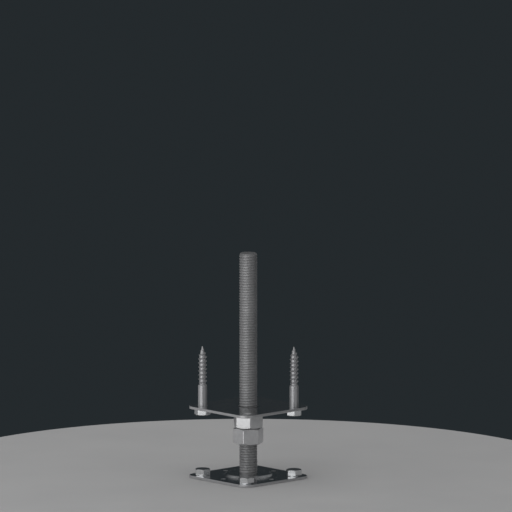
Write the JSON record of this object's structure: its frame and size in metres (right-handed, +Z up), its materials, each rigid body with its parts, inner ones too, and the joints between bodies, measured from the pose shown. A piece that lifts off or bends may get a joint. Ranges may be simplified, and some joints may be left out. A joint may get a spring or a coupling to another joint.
{
  "type": "adjustable post base",
  "caption": "Height-adjustable steel post base: pressed square foot plate with upright threaded rod, support and lock nuts, washer, and a square top plate with screws.",
  "frame": {"origin": "middle of the foot plate's underside, on the rod's axis", "axes": "+Z up along the threaded rod; X and Y along the sides of the square plates"},
  "size_m": [0.1, 0.1, 0.3145],
  "materials": {
    "zinc_plate": "bright zinc plated sheet steel, smooth and glossy",
    "zinc_rod": "zinc plated rolled thread, slightly dull in the roots",
    "weld_bead": "rippled weld bead under zinc plating",
    "zinc_nut": "bright zinc plated, cold formed",
    "zinc_screw": "bright zinc plated, cold formed"
  },
  "bodies": {
    "base": {"base_plate": "zinc_plate", "threaded_rod": "zinc_rod", "rod_weld": "weld_bead", "anchor_screws": "zinc_screw"},
    "head": {"top_plate": "zinc_plate", "washer": "zinc_nut", "lag_screws": "zinc_screw"},
    "support_nut": {"support_nut": "zinc_nut"},
    "lock_nut": {"lock_nut": "zinc_nut"}
  },
  "joints": [
    {"name": "plate_height", "type": "slide", "parent": "base", "child": "head", "axis": [0, 0, 1], "range_m": [-0.033, 0.12]},
    {"name": "support_nut_turn", "type": "hinge", "parent": "head", "child": "support_nut", "pos_m": [0, 0, 0.066], "axis": [0, 0, 1], "range_deg": [-3960, 14400]},
    {"name": "lock_nut_turn", "type": "hinge", "parent": "head", "child": "lock_nut", "pos_m": [0, 0, 0.048], "axis": [0, 0, 1], "range_deg": [-3960, 14400]}
  ],
  "couplings": [
    {"joint": "support_nut_turn", "follows": "plate_height", "rad_per_m": 2094.4},
    {"joint": "lock_nut_turn", "follows": "plate_height", "rad_per_m": 2094.4}
  ]
}
